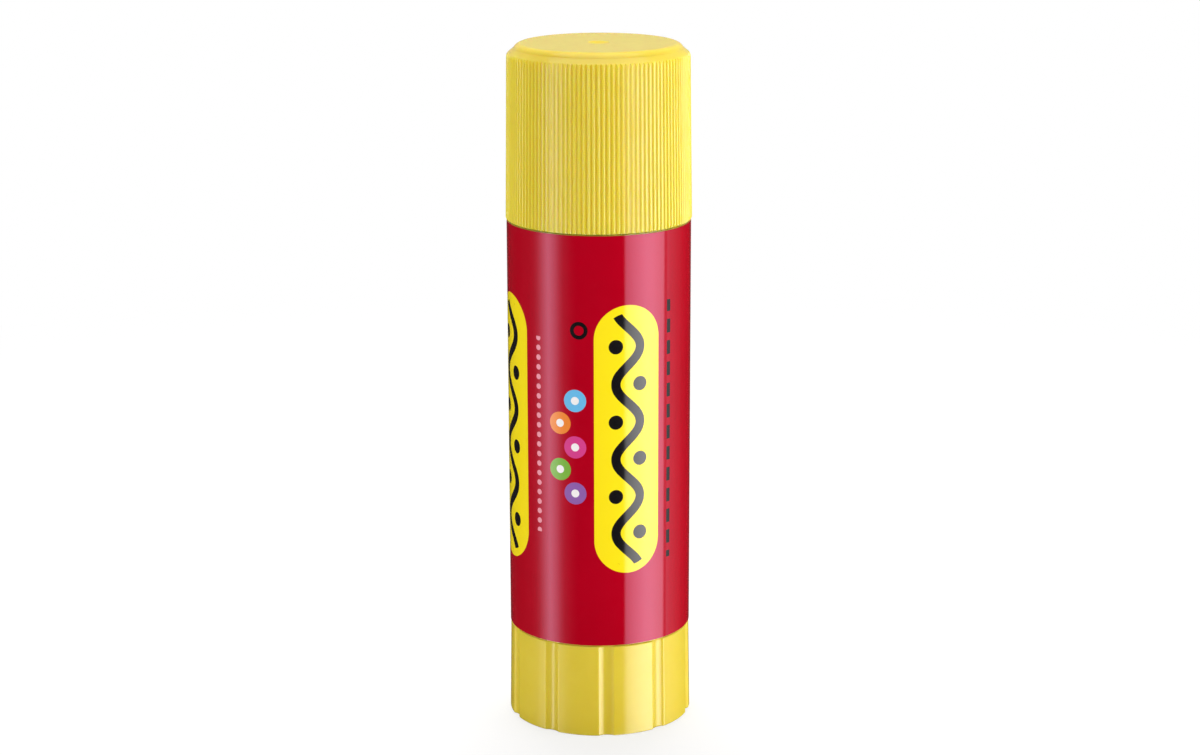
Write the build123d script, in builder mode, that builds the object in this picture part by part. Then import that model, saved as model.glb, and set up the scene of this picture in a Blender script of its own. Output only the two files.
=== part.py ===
from build123d import *
import os
from math import cos, radians, sin, tan

# A twist-up glue stick, closed, in millimetres. The origin is the centre of the knob's foot, +Z points up to
# the cap and -Y is the front. Turning the knob turns the spindle, and the carrier climbs the spindle's screw
# with the glue, because the barrel's guide ribs keep it from turning.

os.makedirs("parts", exist_ok=True)

# Driving sizes of the closed stick
knob_height = 14.45
barrel_length = 63.8
cap_height = 26.5
barrel_radius = 13.9
neck_height = 17.0

# Clearances
knob_gap = 0.15
cap_gap = 0.1
cap_clearance = 0.2
bead_clearance = 0.12
seal_clearance = 0.15
bearing_clearance = 0.15
end_float = 0.15
piston_clearance = 0.2
key_clearance = 0.2
thread_clearance = 0.2
glue_clearance = 0.3
carrier_float = 0.35
overrun = 0.5

# Cap: a drafted, ribbed shell with a bevelled shoulder, a raised top and a seal lip that enters the mouth
cap_step = 0.23
cap_draft = 0.79
cap_wall = 1.1
cap_roof = 1.6
cap_inner_round = 1.0
cap_rib_count = 120
cap_rib_depth = 0.22
disc_inset = 1.15
disc_taper = 0.45
disc_height = 0.75
disc_round = 1.4
bevel_height = 0.85
shoulder_round = 0.7
shoulder_flare = 0.35
rim_bevel = 0.2
dimple_radius = 1.7
dimple_depth = 0.4
seal_wall = 0.8
seal_reach = 1.0
seal_bevel = 0.4
# One rib and its valley, as places across the pitch and depths below the crest
rib_profile_shares = (
    (-0.08, 0.0),
    (0.08, 0.0),
    (0.2, 0.18),
    (0.31, 0.6),
    (0.41, 0.95),
    (0.59, 0.95),
    (0.69, 0.6),
    (0.8, 0.18),
)

# Knob: a fluted, drafted cup with a socket for the spindle
knob_step = 0.25
knob_draft = 0.89
knob_wall = 1.9
knob_floor = 1.6
knob_foot_round = 0.3
knob_top_round = 0.2
flute_count = 10
flute_width = 2.4
flute_depth = 0.42
flute_edge_round = 0.3
flute_azimuth = 4.0
foot_ring_width = 2.5
foot_recess = 0.5
boss_radius = 5.0
web_count = 5
web_thickness = 1.0
web_clearance = 0.3

# Barrel
neck_wall = 1.2
mouth_round = 0.3
bead_height = 1.2
bead_rise = 3.4
barrel_floor = 1.6
skirt_depth = 5.0
skirt_wall = 1.2
guide_rib_count = 4
guide_rib_width = 1.2
guide_rib_height = 0.6
guide_rib_setback = 2.0

# Label: a wrapped film with its ends lapped at the back
label_film = 0.1
label_margin = 0.1
label_lap = 6.0

# Spindle: a left-hand screw, so that turning the knob clockwise, seen from below, lifts the glue
thread_lead = 5.0
thread_crest_radius = 3.4
thread_root_radius = 2.5
thread_crest_width = 1.0
thread_root_width = 2.4
journal_radius = 3.6
socket_width = 4.6
snap_overlap = 0.4
snap_height = 1.2
snap_land_share = 0.25
tip_bevel = 0.8

# Carrier: a threaded hub, a plate, a cup that holds the glue and a skirt that guides it in the bore
hub_radius = 6.0
hub_height = 12.0
plate_thickness = 1.4
cup_depth = 4.0
cup_wall = 0.9
carrier_skirt_depth = 8.0
carrier_web_count = 4
carrier_web_thickness = 1.0

# Glue
glue_recess = 2.4
glue_over_tip = 2.8
glue_round = 0.5

# Levels along the axis
barrel_foot = knob_height + knob_gap
shoulder = barrel_foot + barrel_length
mouth = shoulder + neck_height
cap_rim = shoulder + cap_gap
cap_top = cap_rim + cap_height
disc_foot = cap_top - disc_height
bevel_foot = disc_foot - bevel_height
ceiling = cap_top - cap_roof
floor_top = barrel_foot + barrel_floor
skirt_foot = barrel_foot - skirt_depth
boss_top = barrel_foot - end_float
collar_foot = floor_top + end_float
collar_top = collar_foot + snap_height
carrier_foot = collar_top + carrier_float
plate_foot = carrier_foot + hub_height
plate_top = plate_foot + plate_thickness
cup_rim = plate_top + cup_depth
glue_top = mouth - glue_recess
spindle_tip = glue_top - glue_over_tip
cap_rim_radius = barrel_radius + cap_step
knob_foot_radius = barrel_radius + knob_step
disc_radius = barrel_radius - disc_inset
disc_rim_radius = disc_radius - disc_taper


def cap_crest_radius(height):
    """Radius over the cap's ribs, which lean inwards towards the top."""
    return cap_rim_radius - tan(radians(cap_draft)) * (height - cap_rim)


def cap_inner_radius(height):
    """Radius of the cap's cavity, which has the same draft."""
    return cap_crest_radius(height) - cap_rib_depth - cap_wall


# Radii that follow from what each piece fits in
neck_radius = cap_inner_radius(mouth) - cap_clearance
bore_radius = neck_radius - neck_wall
bead_level = shoulder + bead_rise
bead_radius = cap_inner_radius(bead_level + bead_height) - bead_clearance
seal_radius = bore_radius - seal_clearance
knob_top_radius = knob_foot_radius - tan(radians(knob_draft)) * knob_height
knob_bore_radius = knob_top_radius - knob_wall
skirt_radius = knob_bore_radius - bearing_clearance
floor_hole_radius = journal_radius + bearing_clearance
snap_radius = floor_hole_radius + snap_overlap
carrier_radius = bore_radius - piston_clearance
cup_radius = carrier_radius - cup_wall
glue_bore_radius = thread_crest_radius + glue_clearance
front_angle = -90.0


def around(radius, angle):
    """Point on a circle about the axis, at an angle in degrees."""
    return (radius * cos(radians(angle)), radius * sin(radians(angle)))


def ribbed_outline(crest_radius):
    """Points of rounded ridges with narrower valleys between them, all round the cap."""
    pitch = 360 / cap_rib_count
    return [
        around(crest_radius - depth_share * cap_rib_depth, (rib + place_share) * pitch)
        for rib in range(cap_rib_count)
        for place_share, depth_share in rib_profile_shares
    ]


def sweep_thread(start, height, clearance, mode):
    """The screw's helical ridge or, with a clearance and cut away, the groove that it runs in."""
    pitch_radius = (thread_crest_radius + thread_root_radius) / 2
    core_radius = thread_root_radius - overrun
    half_root = thread_root_width / 2 + clearance
    half_crest = thread_crest_width / 2 + clearance
    crest_radius = thread_crest_radius + clearance
    with BuildLine(mode=Mode.PRIVATE) as path:
        Helix(pitch=thread_lead, height=height, radius=pitch_radius, center=(0, 0, start), lefthand=True)
    with BuildSketch(Plane.XZ) as section:
        with BuildLine():
            Polyline(
                (core_radius, start - half_root),
                (crest_radius, start - half_crest),
                (crest_radius, start + half_crest),
                (core_radius, start + half_root),
                close=True,
            )
        make_face()
    sweep(section.sketch, path=path.line, is_frenet=True, mode=mode)


def cut_guide_notches(low, high):
    """Notches that let a piece slide along the barrel's guide ribs."""
    floor_radius = bore_radius - guide_rib_height - key_clearance
    depth = carrier_radius + overrun - floor_radius
    with BuildSketch(Plane.XY.offset(low)) as notches:
        with PolarLocations(floor_radius + depth / 2, guide_rib_count):
            Rectangle(depth, guide_rib_width + 2 * key_clearance)
    extrude(notches.sketch, amount=high - low, mode=Mode.SUBTRACT)


with BuildPart() as cap:
    for level in (cap_rim, cap_top):
        with BuildSketch(Plane.XY.offset(level)):
            with BuildLine():
                Polyline(*ribbed_outline(cap_crest_radius(level)), close=True)
            make_face()
    loft(ruled=True)
    # The crown trims the ribs with its raised top, bevel, rounded shoulder and rim, and flares clear below
    corner = (cap_crest_radius(bevel_foot), bevel_foot)
    with BuildSketch(Plane.XZ) as crown:
        with BuildLine():
            Polyline(
                (0, cap_top),
                (disc_rim_radius, cap_top),
                (disc_radius, disc_foot),
                corner,
                (cap_rim_radius + shoulder_flare, cap_rim + rim_bevel + shoulder_flare),
                (cap_rim_radius - rim_bevel, cap_rim),
                (0, cap_rim),
                close=True,
            )
        make_face()
        fillet(crown.vertices().sort_by_distance((disc_rim_radius, cap_top))[0], disc_round)
        fillet(crown.vertices().sort_by_distance(corner)[0], shoulder_round)
    revolve(axis=Axis.Z, mode=Mode.INTERSECT)
    with BuildSketch(Plane.XZ):
        with BuildLine():
            Polyline(
                (0, cap_rim),
                (cap_inner_radius(cap_rim), cap_rim),
                (cap_inner_radius(ceiling), ceiling),
                (0, ceiling),
                close=True,
            )
        cavity = make_face()
        fillet(cavity.vertices().group_by(Axis.Y)[-1].sort_by(Axis.X)[-1], cap_inner_round)
    revolve(axis=Axis.Z, mode=Mode.SUBTRACT)
    seal_foot = mouth - seal_reach
    with BuildSketch(Plane.XZ):
        with BuildLine():
            Polyline(
                (seal_radius - seal_wall, ceiling + overrun),
                (seal_radius, ceiling + overrun),
                (seal_radius, seal_foot + seal_bevel),
                (seal_radius - seal_bevel, seal_foot),
                (seal_radius - seal_wall, seal_foot),
                close=True,
            )
        make_face()
    revolve(axis=Axis.Z)
    dimple_sphere = (dimple_radius ** 2 + dimple_depth ** 2) / (2 * dimple_depth)
    with Locations((0, 0, cap_top - dimple_depth + dimple_sphere)):
        Sphere(dimple_sphere, mode=Mode.SUBTRACT)
cap.part.label = "cap"

with BuildPart() as barrel:
    with BuildSketch(Plane.XZ):
        with BuildLine():
            Polyline(
                (skirt_radius - skirt_wall, skirt_foot),
                (skirt_radius, skirt_foot),
                (skirt_radius, barrel_foot),
                (barrel_radius, barrel_foot),
                (barrel_radius, shoulder),
                (neck_radius, shoulder),
                (neck_radius, bead_level),
                (bead_radius, bead_level + bead_height / 2),
                (neck_radius, bead_level + bead_height),
                (neck_radius, mouth),
                (bore_radius, mouth),
                (bore_radius, floor_top),
                (floor_hole_radius, floor_top),
                (floor_hole_radius, barrel_foot),
                (skirt_radius - skirt_wall, barrel_foot),
                close=True,
            )
        make_face()
    revolve(axis=Axis.Z)
    fillet(barrel.edges().group_by(Axis.Z)[-1], mouth_round)
    guide_rib_top = mouth - seal_reach - guide_rib_setback
    with BuildSketch(Plane.XY.offset(floor_top)):
        with PolarLocations(bore_radius, guide_rib_count):
            Rectangle(2 * guide_rib_height, guide_rib_width)
    extrude(amount=guide_rib_top - floor_top)
barrel.part.label = "barrel"

with BuildPart() as label:
    film_radius = barrel_radius + label_film
    with BuildSketch(Plane.XY.offset(barrel_foot + label_margin)):
        # The lapped ends are twice as thick over a strip at the back
        Circle(film_radius + label_film)
        with Locations((0, film_radius)):
            Rectangle(label_lap, film_radius, mode=Mode.INTERSECT)
        Circle(film_radius)
        Circle(barrel_radius, mode=Mode.SUBTRACT)
    extrude(amount=barrel_length - 2 * label_margin)
label.part.label = "label"

with BuildPart() as knob:
    with BuildSketch(Plane.XZ):
        with BuildLine():
            Polyline(
                (0, 0),
                (knob_foot_radius, 0),
                (knob_top_radius, knob_height),
                (0, knob_height),
                close=True,
            )
        make_face()
    revolve(axis=Axis.Z)
    # Each flute is a round cut that leans inwards with the wall
    flute_radius = ((flute_width / 2) ** 2 + flute_depth ** 2) / (2 * flute_depth)
    flute_centre = knob_foot_radius - flute_depth + flute_radius
    with PolarLocations(flute_centre, flute_count, start_angle=front_angle + flute_azimuth):
        with Locations(Rotation(0, -knob_draft, 0)):
            Cylinder(flute_radius, 2 * (knob_height + overrun), mode=Mode.SUBTRACT)
    fillet(knob.faces().filter_by(GeomType.CYLINDER).edges().group_by(SortBy.LENGTH)[-1], flute_edge_round)
    fillet(knob.faces().sort_by(Axis.Z)[0].edges(), knob_foot_round)
    fillet(knob.faces().sort_by(Axis.Z)[-1].edges(), knob_top_round)
    with BuildSketch(Plane.XY.offset(knob_floor)):
        Circle(knob_bore_radius)
    extrude(amount=knob_height - knob_floor, mode=Mode.SUBTRACT)
    with BuildSketch():
        Circle(knob_foot_radius - foot_ring_width)
    extrude(amount=foot_recess, mode=Mode.SUBTRACT)
    with BuildSketch(Plane.XY.offset(knob_floor)):
        Circle(boss_radius)
    extrude(amount=boss_top - knob_floor)
    with BuildSketch(Plane.XY.offset(knob_floor)):
        with PolarLocations((boss_radius + knob_bore_radius) / 2, web_count):
            Rectangle(knob_bore_radius - boss_radius + web_thickness, web_thickness)
    extrude(amount=skirt_foot - web_clearance - knob_floor)
    with BuildSketch(Plane.XY.offset(knob_floor)):
        Rectangle(socket_width, socket_width)
    extrude(amount=boss_top - knob_floor, mode=Mode.SUBTRACT)
knob.part.label = "knob"

with BuildPart() as spindle:
    with BuildSketch(Plane.XY.offset(collar_foot)):
        Circle(thread_root_radius)
    extrude(amount=spindle_tip - collar_foot)
    sweep_thread(collar_top, spindle_tip - collar_top, clearance=0, mode=Mode.ADD)
    # A cylinder with a bevelled end trims the screw
    with BuildSketch(Plane.XZ):
        with BuildLine():
            Polyline(
                (0, collar_foot),
                (thread_crest_radius + overrun, collar_foot),
                (thread_crest_radius + overrun, spindle_tip - overrun - tip_bevel),
                (thread_crest_radius - tip_bevel, spindle_tip),
                (0, spindle_tip),
                close=True,
            )
        make_face()
    revolve(axis=Axis.Z, mode=Mode.INTERSECT)
    with BuildSketch(Plane.XY.offset(knob_floor)):
        Rectangle(socket_width, socket_width)
    extrude(amount=boss_top - knob_floor)
    with BuildSketch(Plane.XY.offset(boss_top)):
        Circle(journal_radius)
    extrude(amount=collar_top - boss_top)
    with BuildSketch(Plane.XZ):
        with BuildLine():
            Polyline(
                (0, collar_foot),
                (snap_radius, collar_foot),
                (snap_radius, collar_foot + snap_height * snap_land_share),
                (journal_radius, collar_top),
                (0, collar_top),
                close=True,
            )
        make_face()
    revolve(axis=Axis.Z)
spindle.part.label = "spindle"

with BuildPart() as carrier:
    with BuildSketch(Plane.XY.offset(carrier_foot)):
        Circle(hub_radius)
    extrude(amount=hub_height)
    with BuildSketch(Plane.XY.offset(plate_foot - carrier_skirt_depth)):
        Circle(carrier_radius)
        Circle(cup_radius, mode=Mode.SUBTRACT)
    extrude(amount=cup_rim - plate_foot + carrier_skirt_depth)
    with BuildSketch(Plane.XY.offset(plate_foot)):
        Circle(carrier_radius)
    extrude(amount=plate_thickness)
    web_centre = (hub_radius + cup_radius) / 2
    with BuildSketch(Plane.XY.offset(plate_foot - carrier_skirt_depth)):
        with PolarLocations(web_centre, carrier_web_count, start_angle=180 / carrier_web_count):
            Rectangle(cup_radius - hub_radius + cup_wall, carrier_web_thickness)
    extrude(amount=carrier_skirt_depth)
    cut_guide_notches(plate_foot - carrier_skirt_depth, cup_rim)
    with BuildSketch(Plane.XY.offset(carrier_foot)):
        Circle(thread_root_radius + thread_clearance)
    extrude(amount=cup_rim - carrier_foot, mode=Mode.SUBTRACT)
    groove_length = plate_top - collar_top + 2 * thread_lead
    sweep_thread(collar_top - thread_lead, groove_length, clearance=thread_clearance, mode=Mode.SUBTRACT)
carrier.part.label = "carrier"

with BuildPart() as glue:
    with BuildSketch(Plane.XY.offset(plate_top)):
        Circle(cup_radius)
    extrude(amount=cup_depth)
    with BuildSketch(Plane.XY.offset(cup_rim)):
        Circle(carrier_radius)
    extrude(amount=glue_top - cup_rim)
    fillet(glue.edges().group_by(Axis.Z)[-1], glue_round)
    cut_guide_notches(cup_rim, glue_top)
    with BuildSketch(Plane.XY.offset(plate_top)):
        Circle(glue_bore_radius)
    extrude(amount=spindle_tip + glue_clearance - plate_top, mode=Mode.SUBTRACT)
glue.part.label = "glue"

for piece in (cap, barrel, label, knob, spindle, carrier, glue):
    export_step(piece.part, "parts/" + piece.part.label + ".step")
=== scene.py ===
"""The looks of a closed glue stick: ribbed plastic, a glossy wrapped label, and the screw and glue inside.

Everything is in metres, in the part's own frame: +Z runs up the stick and -Y is its front.
Azimuths are in degrees round the stick: 0 is its front, and they grow to the right as the camera sees it.
"""

import math

import bmesh
import bpy
from mathutils import Matrix, Vector


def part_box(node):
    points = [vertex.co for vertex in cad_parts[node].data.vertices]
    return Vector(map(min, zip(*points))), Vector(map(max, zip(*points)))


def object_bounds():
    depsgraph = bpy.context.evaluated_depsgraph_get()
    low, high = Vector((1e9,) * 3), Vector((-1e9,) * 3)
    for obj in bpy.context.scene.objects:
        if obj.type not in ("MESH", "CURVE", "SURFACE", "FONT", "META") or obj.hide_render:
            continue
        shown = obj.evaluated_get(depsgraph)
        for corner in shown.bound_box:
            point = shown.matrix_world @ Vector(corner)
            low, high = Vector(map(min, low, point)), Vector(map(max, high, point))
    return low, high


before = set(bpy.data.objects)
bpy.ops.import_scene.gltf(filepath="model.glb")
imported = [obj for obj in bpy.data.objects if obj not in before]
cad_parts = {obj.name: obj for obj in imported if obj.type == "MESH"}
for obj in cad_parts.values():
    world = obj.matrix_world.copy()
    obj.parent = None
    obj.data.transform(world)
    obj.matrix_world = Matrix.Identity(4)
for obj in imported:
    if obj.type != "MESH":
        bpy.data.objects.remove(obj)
cad_low, cad_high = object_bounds()

MM = 0.001
WHITE = (1.0, 1.0, 1.0, 1.0)


def linear(red, green, blue):
    """An sRGB colour of 0 to 255 as the linear colour that a shader takes."""
    def channel(value):
        share = value / 255
        return share / 12.92 if share <= 0.04045 else ((share + 0.055) / 1.055) ** 2.4
    return (channel(red), channel(green), channel(blue), 1.0)


# Middle of a noise's range, which is stretched to the range that a finish asks for
NOISE_LOW, NOISE_HIGH = 0.3, 0.7


class Graph:
    """One node material: adds nodes and joins them."""

    def __init__(self, name):
        self.material = bpy.data.materials.new(name)
        self.material.use_nodes = True
        self.tree = self.material.node_tree
        self.shader = self.tree.nodes["Principled BSDF"]
        self.place = self.add("ShaderNodeTexCoord").outputs["Object"]

    def add(self, kind, **settings):
        node = self.tree.nodes.new(kind)
        for key, value in settings.items():
            setattr(node, key, value)
        return node

    def feed(self, socket, value):
        """Joins a socket to another node's output, or sets its constant."""
        if isinstance(value, bpy.types.NodeSocket):
            self.tree.links.new(value, socket)
        else:
            socket.default_value = value

    def set(self, **values):
        """Sets the shader's own sockets, with underscores for the spaces in their names."""
        for name, value in values.items():
            self.feed(self.shader.inputs[name.replace("_", " ")], value)

    def math(self, operation, *values):
        node = self.add("ShaderNodeMath", operation=operation)
        for socket, value in zip(node.inputs, values):
            self.feed(socket, value)
        return node.outputs[0]

    def mix(self, share, first, second):
        """A colour between two others."""
        node = self.add("ShaderNodeMix", data_type="RGBA")
        colours = [socket for socket in node.inputs if socket.type == "RGBA"]
        self.feed(node.inputs[0], share)
        self.feed(colours[0], first)
        self.feed(colours[1], second)
        return next(socket for socket in node.outputs if socket.type == "RGBA")

    def split_place(self):
        """The X, Y and Z of the shaded point, by name."""
        node = self.add("ShaderNodeSeparateXYZ")
        self.feed(node.inputs[0], self.place)
        return node.outputs

    def azimuth(self, axes):
        """Azimuth of the shaded point, in radians."""
        return self.math("ARCTAN2", axes["X"], self.math("MULTIPLY", axes["Y"], -1.0))

    def noise(self, size, detail):
        """Noise from 0 to 1 whose features are about that size, in metres."""
        node = self.add("ShaderNodeTexNoise")
        self.feed(node.inputs["Vector"], self.place)
        node.inputs["Scale"].default_value = 1 / size
        node.inputs["Detail"].default_value = detail
        return node.outputs["Fac"]

    def spread(self, noise, low, high):
        """Noise stretched so that it runs about from low to high."""
        node = self.add("ShaderNodeMapRange")
        self.feed(node.inputs["Value"], noise)
        node.inputs["From Min"].default_value = NOISE_LOW
        node.inputs["From Max"].default_value = NOISE_HIGH
        node.inputs["To Min"].default_value = low
        node.inputs["To Max"].default_value = high
        return node.outputs["Result"]

    def clouded(self, colour, shade, size, detail):
        """A colour that drifts to a shade of it in soft clouds of that size."""
        return self.mix(self.spread(self.noise(size, detail), 0.0, 1.0), colour, shade)

    def bump(self, height, depth):
        """Bump of that depth in metres from a height of 0 to 1."""
        node = self.add("ShaderNodeBump")
        self.feed(node.inputs["Height"], height)
        node.inputs["Distance"].default_value = depth
        self.feed(self.shader.inputs["Normal"], node.outputs["Normal"])


# Plastics: sizes of their clouds, satin patches and grain, and how far light spreads inside them
PLASTIC_CLOUD = 4 * MM
PLASTIC_PATCH = 0.9 * MM
PLASTIC_GRAIN = 0.12 * MM
ROUGHNESS_SWING = 0.02
PLASTIC_GLOW_SCALE = 2 * MM
PLASTIC_GLOW_REACH = (1.0, 0.7, 0.25)
FINE_GRAIN_DEPTH = 0.0005 * MM
MATT_GRAIN_DEPTH = 0.003 * MM


def moulded_plastic(name, colour, shade, ior, roughness, subsurface, grain_depth):
    """Injection-moulded plastic with a faint cloudiness and a fine satin grain."""
    graph = Graph(name)
    graph.set(Base_Color=graph.clouded(colour, shade, PLASTIC_CLOUD, detail=3), IOR=ior)
    patches = graph.noise(PLASTIC_PATCH, detail=3)
    graph.set(Roughness=graph.spread(patches, roughness - ROUGHNESS_SWING, roughness + ROUGHNESS_SWING))
    graph.set(Subsurface_Weight=subsurface, Subsurface_Scale=PLASTIC_GLOW_SCALE)
    graph.set(Subsurface_Radius=PLASTIC_GLOW_REACH)
    graph.bump(graph.noise(PLASTIC_GRAIN, detail=2), grain_depth)
    return graph.material


def cap_plastic():
    """Glossy yellow, which lets much light into it, of the cap and the barrel."""
    return moulded_plastic(
        "moulded_yellow",
        colour=linear(227, 204, 66),
        shade=linear(225, 201, 61),
        ior=1.6,
        roughness=0.16,
        subsurface=0.95,
        grain_depth=FINE_GRAIN_DEPTH,
    )


def base_plastic():
    """The knob's yellow, a little denser than the cap's."""
    return moulded_plastic(
        "base_yellow",
        colour=linear(226, 203, 66),
        shade=linear(224, 200, 61),
        ior=1.54,
        roughness=0.16,
        subsurface=0.5,
        grain_depth=FINE_GRAIN_DEPTH,
    )


def natural_plastic():
    """Uncoloured satin plastic of the screw and the carrier."""
    return moulded_plastic(
        "natural_plastic",
        colour=linear(236, 236, 230),
        shade=linear(230, 230, 222),
        ior=1.5,
        roughness=0.4,
        subsurface=0.25,
        grain_depth=MATT_GRAIN_DEPTH,
    )


# Label: the motifs' sizes and heights over the ground in millimetres, and their azimuths
LABEL_RADIUS_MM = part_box("label")[1].x / MM
PANEL_AZIMUTHS = (18.0, -72.0, 108.0)
PANEL_HALF_WIDTH = 5.2
PANEL_HALF_LENGTH = 20.8
PANEL_MIDDLE = 47.0
PANEL_CORNER = 5.2
WAVE_LENGTH = 11.6
WAVE_SWING = 1.9
WAVE_HALF_WIDTH = 0.72
WAVE_MARGIN = 1.2
WAVE_DOT = 1.1
BEAD_AZIMUTHS = (-20.0, 150.0, -124.0)
BEAD_FOOT = 37.0
BEAD_PITCH = 3.6
BEAD_RADIUS = 1.72
BEAD_HOLE = 0.62
BEAD_STAGGER = 1.2
DOT_AZIMUTHS = (-40.5, -148.0)
DOT_PITCH = 1.5
DOT_RADIUS = 0.42
DOT_LOW, DOT_HIGH = 32.0, 62.5
DASH_AZIMUTHS = (48.0, 133.0)
DASH_PITCH = 3.3
DASH_SHARE = 0.64
DASH_HALF_WIDTH = 0.38
DASH_LOW, DASH_HIGH = 27.5, 67.8
RING_AZIMUTH = -12.5
RING_HEIGHT = 64.0
RING_RADIUS, RING_HOLE = 1.35, 0.75

LABEL_RED = linear(178, 0, 27)
LABEL_RED_SHADE = linear(173, 0, 25)
LABEL_YELLOW = linear(250, 225, 20)
LABEL_BLACK = linear(22, 20, 22)
LABEL_PINK = linear(236, 150, 165)
LABEL_WHITE = linear(245, 240, 240)
# Beads from the lowest up
BEAD_COLOURS = (
    linear(143, 96, 170),
    linear(122, 178, 62),
    linear(214, 66, 140),
    linear(238, 134, 46),
    linear(106, 186, 232),
)

# The film's surface: tint of the gloss over bare film and over ink, haze, and slight waves
FILM_SHEEN = (1.0, 0.62, 0.95, 1.0)
INK_SHEEN = WHITE
FILM_CLOUD = 9 * MM
FILM_PATCH = 1.5 * MM
FILM_ROUGHNESS_LOW, FILM_ROUGHNESS_HIGH = 0.07, 0.1
INK_ROUGHNESS_RISE = 0.03
FILM_RIPPLE = 7 * MM
FILM_RIPPLE_DEPTH = 0.004 * MM


class Film(Graph):
    """The label's print: motifs painted over the red ground, in millimetres round the film and up it."""

    def __init__(self, name):
        super().__init__(name)
        axes = self.split_place()
        self.turn = self.azimuth(axes)
        self.height = self.math("DIVIDE", axes["Z"], MM)
        self.colour = self.clouded(LABEL_RED, LABEL_RED_SHADE, FILM_CLOUD, detail=2)
        self.inked = 0.0

    def paint(self, mask, ink):
        """Covers the mask with an ink, and notes that the film is inked there."""
        self.colour = self.mix(mask, self.colour, ink)
        self.inked = self.math("MAXIMUM", self.inked, mask)

    def across_from(self, degrees):
        """Distance round the film from an azimuth, up to half a turn to either side."""
        turned = self.math("SUBTRACT", self.turn, math.radians(degrees))
        return self.math("MULTIPLY", self.math("WRAP", turned, math.pi, -math.pi), LABEL_RADIUS_MM)

    def from_middle(self, row, pitch):
        """Distance from the middle of a row, given a place that is counted in rows."""
        return self.math("MULTIPLY", self.math("SUBTRACT", self.math("FRACT", row), 0.5), pitch)

    def within(self, value, low, high):
        """Mask of where a value lies between two others."""
        above = self.math("GREATER_THAN", value, low)
        below = self.math("LESS_THAN", value, high)
        return self.math("MULTIPLY", above, below)

    def disc(self, across, along, radius):
        """Mask of a round dot, given places from its middle."""
        squares = self.math("ADD", self.math("POWER", across, 2.0), self.math("POWER", along, 2.0))
        return self.math("LESS_THAN", self.math("SQRT", squares), radius)

    def panel(self, across, along, margin):
        """Mask of a panel with rounded corners, inside a margin."""
        side = self.math("SUBTRACT", self.math("ABSOLUTE", across), PANEL_HALF_WIDTH - PANEL_CORNER)
        end = self.math("SUBTRACT", self.math("ABSOLUTE", along), PANEL_HALF_LENGTH - PANEL_CORNER)
        side = self.math("MAXIMUM", side, 0.0)
        end = self.math("MAXIMUM", end, 0.0)
        return self.disc(side, end, PANEL_CORNER - margin)

    def paint_panels(self):
        """Upright yellow panels, each with a black wave up its middle and a dot in each bend of the wave."""
        along = self.math("SUBTRACT", self.height, PANEL_MIDDLE)
        phase = self.math("MULTIPLY", along, 2 * math.pi / WAVE_LENGTH)
        sway = self.math("SINE", phase)
        middle = self.math("MULTIPLY", sway, WAVE_SWING)
        slope = self.math("MULTIPLY", self.math("COSINE", phase), 2 * math.pi * WAVE_SWING / WAVE_LENGTH)
        stretch = self.math("SQRT", self.math("ADD", self.math("POWER", slope, 2.0), 1.0))
        bend_side = self.math("MULTIPLY", self.math("SIGN", sway), WAVE_SWING)
        along_bend = self.math("WRAP", along, WAVE_LENGTH / 2, 0.0)
        along_bend = self.math("SUBTRACT", along_bend, WAVE_LENGTH / 4)
        for degrees in PANEL_AZIMUTHS:
            across = self.across_from(degrees)
            self.paint(self.panel(across, along, 0.0), LABEL_YELLOW)
            off_wave = self.math("ABSOLUTE", self.math("SUBTRACT", across, middle))
            wave = self.math("LESS_THAN", self.math("DIVIDE", off_wave, stretch), WAVE_HALF_WIDTH)
            dot = self.disc(self.math("ADD", across, bend_side), along_bend, WAVE_DOT)
            drawn = self.math("MAXIMUM", wave, dot)
            self.paint(self.math("MULTIPLY", self.panel(across, along, WAVE_MARGIN), drawn), LABEL_BLACK)

    def paint_beads(self):
        """Columns of coloured beads with pale middles, set by turns to the left and to the right."""
        row = self.math("DIVIDE", self.math("SUBTRACT", self.height, BEAD_FOOT), BEAD_PITCH)
        along = self.from_middle(row, BEAD_PITCH)
        odd = self.math("MODULO", self.math("FLOOR", row), 2.0)
        side = self.math("SUBTRACT", self.math("MULTIPLY", odd, 2.0), 1.0)
        stagger = self.math("MULTIPLY", side, BEAD_STAGGER)
        in_column = self.within(row, 0.0, float(len(BEAD_COLOURS)))
        ink = BEAD_COLOURS[0]
        for number, upper_ink in enumerate(BEAD_COLOURS[1:], start=1):
            ink = self.mix(self.math("GREATER_THAN", row, float(number)), ink, upper_ink)
        for degrees in BEAD_AZIMUTHS:
            across = self.math("ADD", self.across_from(degrees), stagger)
            self.paint(self.math("MULTIPLY", in_column, self.disc(across, along, BEAD_RADIUS)), ink)
            self.paint(self.math("MULTIPLY", in_column, self.disc(across, along, BEAD_HOLE)), LABEL_WHITE)

    def paint_dots(self):
        """Upright rows of small pink dots."""
        along = self.from_middle(self.math("DIVIDE", self.height, DOT_PITCH), DOT_PITCH)
        in_row = self.within(self.height, DOT_LOW, DOT_HIGH)
        for degrees in DOT_AZIMUTHS:
            dot = self.disc(self.across_from(degrees), along, DOT_RADIUS)
            self.paint(self.math("MULTIPLY", in_row, dot), LABEL_PINK)

    def paint_dashes(self):
        """Upright lines of black dashes."""
        phase = self.math("FRACT", self.math("DIVIDE", self.height, DASH_PITCH))
        on_dash = self.math("LESS_THAN", phase, DASH_SHARE)
        on_dash = self.math("MULTIPLY", on_dash, self.within(self.height, DASH_LOW, DASH_HIGH))
        for degrees in DASH_AZIMUTHS:
            off_line = self.math("ABSOLUTE", self.across_from(degrees))
            on_line = self.math("LESS_THAN", off_line, DASH_HALF_WIDTH)
            self.paint(self.math("MULTIPLY", on_line, on_dash), LABEL_BLACK)

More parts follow.
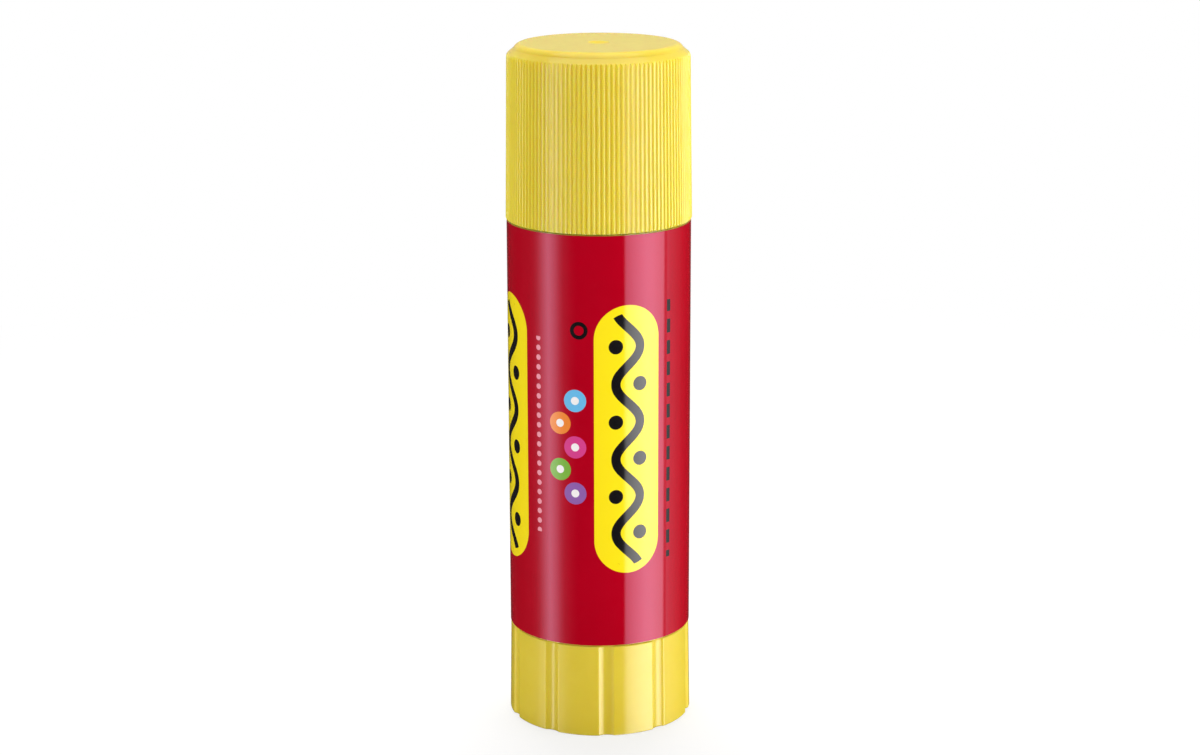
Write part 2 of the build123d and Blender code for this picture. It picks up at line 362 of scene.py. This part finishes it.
    def paint_ring(self):
        """One black ring near the top of the front."""
        across = self.across_from(RING_AZIMUTH)
        along = self.math("SUBTRACT", self.height, RING_HEIGHT)
        hole = self.disc(across, along, RING_HOLE)
        self.paint(self.math("SUBTRACT", self.disc(across, along, RING_RADIUS), hole), LABEL_BLACK)


def label_film():
    """Glossy printed film, a little hazier where it is inked."""
    film = Film("label_film")
    film.paint_panels()
    film.paint_beads()
    film.paint_dots()
    film.paint_dashes()
    film.paint_ring()
    film.set(Base_Color=film.colour, IOR=1.5, Specular_Tint=film.mix(film.inked, FILM_SHEEN, INK_SHEEN))
    haze = film.spread(film.noise(FILM_PATCH, detail=3), FILM_ROUGHNESS_LOW, FILM_ROUGHNESS_HIGH)
    film.set(Roughness=film.math("ADD", haze, film.math("MULTIPLY", film.inked, INK_ROUGHNESS_RISE)))
    film.bump(film.noise(FILM_RIPPLE, detail=1), FILM_RIPPLE_DEPTH)
    return film.material


# Glue: sizes of its clouds, dull patches and lumps, and how far light spreads inside it
GLUE_WHITE = linear(214, 211, 202)
GLUE_SHADE = linear(208, 204, 194)
GLUE_CLOUD = 3 * MM
GLUE_PATCH = 1.2 * MM
GLUE_ROUGHNESS_LOW, GLUE_ROUGHNESS_HIGH = 0.3, 0.5
GLUE_LUMP = 1.6 * MM
GLUE_LUMP_DEPTH = 0.02 * MM
GLUE_GLOW_SCALE = 2.5 * MM


def glue_paste():
    """Waxy off-white glue with a faintly uneven, soft surface."""
    graph = Graph("glue_paste")
    graph.set(Base_Color=graph.clouded(GLUE_WHITE, GLUE_SHADE, GLUE_CLOUD, detail=3), IOR=1.45)
    patches = graph.noise(GLUE_PATCH, detail=4)
    graph.set(Roughness=graph.spread(patches, GLUE_ROUGHNESS_LOW, GLUE_ROUGHNESS_HIGH))
    graph.set(Subsurface_Weight=0.35, Subsurface_Scale=GLUE_GLOW_SCALE)
    graph.bump(graph.noise(GLUE_LUMP, detail=4), GLUE_LUMP_DEPTH)
    return graph.material


def dress():
    """Gives each node its finish."""
    yellow = cap_plastic()
    natural = natural_plastic()
    finishes = {
        "cap": yellow,
        "barrel": yellow,
        "knob": base_plastic(),
        "label": label_film(),
        "spindle": natural,
        "carrier": natural,
        "glue": glue_paste(),
    }
    for name, material in finishes.items():
        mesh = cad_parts[name].data
        mesh.materials.clear()
        mesh.materials.append(material)


# Lamps, aimed at the stick's middle
LAMP_DISTANCE = 0.9
LAMP_WIDTH = 0.8
LAMPS = (
    # name, azimuth, elevation, height, level of its surface
    ("key_lamp", 75.0, 9.0, 0.4, 5.2),
    ("fill_lamp", -37.0, 12.0, 0.9, 0.95),
    ("top_lamp", 180.0, 54.0, 0.8, 5.5),
)


def add_lamps():
    """Soft lamps that don't show in gloss, where the reflector card stands for them."""
    middle = (cad_low + cad_high) / 2
    for name, azimuth, elevation, height, level in LAMPS:
        data = bpy.data.lights.new(name, "AREA")
        data.shape = "RECTANGLE"
        data.size = LAMP_WIDTH
        data.size_y = height
        data.energy = level * math.pi * LAMP_WIDTH * height
        lamp = bpy.data.objects.new(name, data)
        bpy.context.scene.collection.objects.link(lamp)
        turn, lift = math.radians(azimuth), math.radians(elevation)
        way = Vector((math.sin(turn) * math.cos(lift), -math.cos(turn) * math.cos(lift), math.sin(lift)))
        lamp.location = middle + LAMP_DISTANCE * way
        lamp.rotation_mode = "QUATERNION"
        lamp.rotation_quaternion = (-way).to_track_quat("-Z", "Y")
        lamp.visible_camera = False
        lamp.visible_glossy = False


# Background, and the level of the light that it gives from all round
BACKGROUND_LEVEL = 1.0
AMBIENT_LEVEL = 0.55


def background_share(tree):
    """1 for rays that show the background: the camera's, and those seen in gloss or through glass."""
    path = tree.nodes.new("ShaderNodeLightPath")
    share = path.outputs["Is Camera Ray"]
    for name in ("Is Glossy Ray", "Is Transmission Ray"):
        either = tree.nodes.new("ShaderNodeMath")
        either.operation = "MAXIMUM"
        tree.links.new(share, either.inputs[0])
        tree.links.new(path.outputs[name], either.inputs[1])
        share = either.outputs[0]
    return share


def add_world():
    """A white background that lights the stick at a lower level than it shows."""
    world = bpy.data.worlds.new("studio")
    bpy.context.scene.world = world
    world.use_nodes = True
    tree = world.node_tree
    background = tree.nodes["Background"]
    background.inputs["Color"].default_value = WHITE
    level = tree.nodes.new("ShaderNodeMapRange")
    tree.links.new(background_share(tree), level.inputs["Value"])
    level.inputs["To Min"].default_value = AMBIENT_LEVEL
    level.inputs["To Max"].default_value = BACKGROUND_LEVEL
    tree.links.new(level.outputs["Result"], background.inputs["Strength"])


# Floor: near the stick the camera sees a share of it glow and the rest take shadow, and farther out
# all of it glows
FLOOR_RADIUS = 12.0
FLOOR_SIDES = 96
FLOOR_DROP = 0.05 * MM
FLOOR_COLOUR = (0.8, 0.8, 0.8, 1.0)
FLOOR_FADE_START, FLOOR_FADE_END = 0.05, 0.3
FLOOR_NEAR_GLOW = 0.75


def add_disc(name, radius, height):
    """A flat disc at that height, which stands round the object."""
    mesh = bpy.data.meshes.new(name)
    shape = bmesh.new()
    bmesh.ops.create_circle(shape, cap_ends=True, segments=FLOOR_SIDES, radius=radius)
    shape.to_mesh(mesh)
    shape.free()
    piece = bpy.data.objects.new(name, mesh)
    piece.location.z = height
    bpy.context.scene.collection.objects.link(piece)
    return piece


def add_floor():
    """A plain white floor that fades to the background's white and keeps the stick's shadow."""
    floor = add_disc("floor", FLOOR_RADIUS, -FLOOR_DROP)
    material = bpy.data.materials.new("floor_white")
    material.use_nodes = True
    tree = material.node_tree
    tree.nodes.clear()
    matt = tree.nodes.new("ShaderNodeBsdfDiffuse")
    matt.inputs["Color"].default_value = FLOOR_COLOUR
    glow = tree.nodes.new("ShaderNodeEmission")
    place = tree.nodes.new("ShaderNodeTexCoord")
    reach = tree.nodes.new("ShaderNodeVectorMath")
    reach.operation = "LENGTH"
    tree.links.new(place.outputs["Object"], reach.inputs[0])
    fade = tree.nodes.new("ShaderNodeMapRange")
    fade.interpolation_type = "SMOOTHSTEP"
    tree.links.new(reach.outputs["Value"], fade.inputs["Value"])
    fade.inputs["From Min"].default_value = FLOOR_FADE_START
    fade.inputs["From Max"].default_value = FLOOR_FADE_END
    fade.inputs["To Min"].default_value = FLOOR_NEAR_GLOW
    fade.inputs["To Max"].default_value = BACKGROUND_LEVEL
    share = tree.nodes.new("ShaderNodeMath")
    share.operation = "MULTIPLY"
    tree.links.new(background_share(tree), share.inputs[0])
    tree.links.new(fade.outputs["Result"], share.inputs[1])
    blend = tree.nodes.new("ShaderNodeMixShader")
    tree.links.new(share.outputs[0], blend.inputs["Fac"])
    tree.links.new(matt.outputs[0], blend.inputs[1])
    tree.links.new(glow.outputs[0], blend.inputs[2])
    output = tree.nodes.new("ShaderNodeOutputMaterial")
    tree.links.new(blend.outputs[0], output.inputs["Surface"])
    floor.data.materials.append(material)
    floor.visible_glossy = False


# Reflector card: a drum round the studio, with bright bands up its wall to a little over the horizon
CARD_RADIUS = 1.6
CARD_SIDES = 128
CARD_LOW, CARD_HIGH = -1.7, 2.5
CARD_BAND_TOP = 0.2
SKY_LEVEL = 0.42
LID_LEVEL = 1.5
LID_DEPTH = 1 * MM
# A colour ramp holds no more than 1, so it holds the levels divided by this
CARD_STRENGTH = 7.0
# Levels of the bands, by azimuth
CARD_LEVELS = (
    (-118.0, 0.03),
    (-98.0, 0.1),
    (-89.0, 0.24),
    (-83.0, 0.6),
    (-77.0, 1.5),
    (-71.0, 2.75),
    (-66.0, 3.8),
    (-61.0, 3.1),
    (-56.0, 2.2),
    (-50.0, 0.95),
    (-45.0, 0.4),
    (-36.0, 0.12),
    (-28.0, 0.0),
    (31.5, 0.0),
    (33.0, 2.8),
    (44.0, 4.3),
    (52.0, 5.1),
    (61.0, 5.9),
    (70.0, 5.6),
    (80.0, 4.3),
    (88.0, 3.4),
    (90.0, 0.5),
    (93.0, 0.5),
    (95.0, 1.2),
    (99.0, 0.75),
    (114.0, 0.3),
    (128.0, 0.08),
    (142.0, 0.03),
)


def add_drum():
    """The card's closed drum: a wall, and a face at each end."""
    mesh = bpy.data.meshes.new("reflector_card")
    shape = bmesh.new()
    low, high = [], []
    for number in range(CARD_SIDES):
        turn = 2 * math.pi * number / CARD_SIDES
        x, y = CARD_RADIUS * math.cos(turn), CARD_RADIUS * math.sin(turn)
        low.append(shape.verts.new((x, y, CARD_LOW)))
        high.append(shape.verts.new((x, y, CARD_HIGH)))
    for number in range(CARD_SIDES):
        after = (number + 1) % CARD_SIDES
        shape.faces.new((low[number], low[after], high[after], high[number]))
    shape.faces.new(low)
    shape.faces.new(high)
    shape.to_mesh(mesh)
    shape.free()
    card = bpy.data.objects.new("reflector_card", mesh)
    bpy.context.scene.collection.objects.link(card)
    return card


def band_levels(graph, azimuth):
    """The bands' level at an azimuth in radians, divided by the card's strength."""
    ramp = graph.add("ShaderNodeValToRGB")
    graph.feed(ramp.inputs["Fac"], graph.math("ADD", graph.math("DIVIDE", azimuth, 2 * math.pi), 0.5))
    stops = ramp.color_ramp.elements
    # A new stop starts in the middle, and the loop below moves each one to its place
    while len(stops) < len(CARD_LEVELS):
        stops.new(0.5)
    for stop, (degrees, level) in zip(stops, CARD_LEVELS):
        stop.position = degrees / 360 + 0.5
        stop.color = (level / CARD_STRENGTH,) * 3 + (1.0,)
    return ramp.outputs["Color"]


def add_card():
    """The reflector card, which only gloss shows: bands round the horizon, a grey sky and a brighter lid."""
    card = add_drum()
    graph = Graph("card_light")
    axes = graph.split_place()
    low_down = graph.math("LESS_THAN", axes["Z"], CARD_BAND_TOP)
    strength = graph.math("MULTIPLY", low_down, CARD_STRENGTH)
    bands = graph.math("MULTIPLY", band_levels(graph, graph.azimuth(axes)), strength)
    sky = graph.math("MULTIPLY", graph.math("GREATER_THAN", axes["Z"], 0.0), SKY_LEVEL)
    on_lid = graph.math("GREATER_THAN", axes["Z"], CARD_HIGH - LID_DEPTH)
    sky = graph.math("MAXIMUM", sky, graph.math("MULTIPLY", on_lid, LID_LEVEL))
    glow = graph.add("ShaderNodeEmission")
    graph.feed(glow.inputs["Strength"], graph.math("MAXIMUM", bands, sky))
    output = graph.tree.nodes["Material Output"]
    graph.tree.links.new(glow.outputs[0], output.inputs["Surface"])
    graph.material.cycles.emission_sampling = "NONE"
    card.data.materials.append(graph.material)
    card.visible_camera = False
    card.visible_diffuse = False
    card.visible_shadow = False


# Camera, as fitted to the outlines in the photograph, with its angles in degrees
CAMERA_DISTANCE = 0.4055
CAMERA_HEIGHT = 0.1571
CAMERA_PITCH = 14.352
CAMERA_YAW = 0.017
CAMERA_ROLL = -0.143
CAMERA_LENS_MM = 81.55
CAMERA_SENSOR_MM = 36.0
CAMERA_CLIP_START, CAMERA_CLIP_END = 0.01, 100.0


def add_camera():
    """The camera, which looks from the photograph's place."""
    data = bpy.data.cameras.new("camera")
    data.sensor_width = CAMERA_SENSOR_MM
    data.lens = CAMERA_LENS_MM
    data.clip_start = CAMERA_CLIP_START
    data.clip_end = CAMERA_CLIP_END
    camera = bpy.data.objects.new("camera", data)
    turn = Matrix.Rotation(math.radians(-CAMERA_YAW), 4, "Z")
    tilt = Matrix.Rotation(math.radians(90.0 - CAMERA_PITCH), 4, "X")
    roll = Matrix.Rotation(math.radians(CAMERA_ROLL), 4, "Z")
    camera.matrix_world = Matrix.Translation((0.0, -CAMERA_DISTANCE, CAMERA_HEIGHT)) @ turn @ tilt @ roll
    bpy.context.scene.collection.objects.link(camera)
    bpy.context.scene.camera = camera


dress()
add_lamps()
add_world()
add_floor()
add_card()
add_camera()
bpy.context.scene.view_settings.view_transform = "Standard"
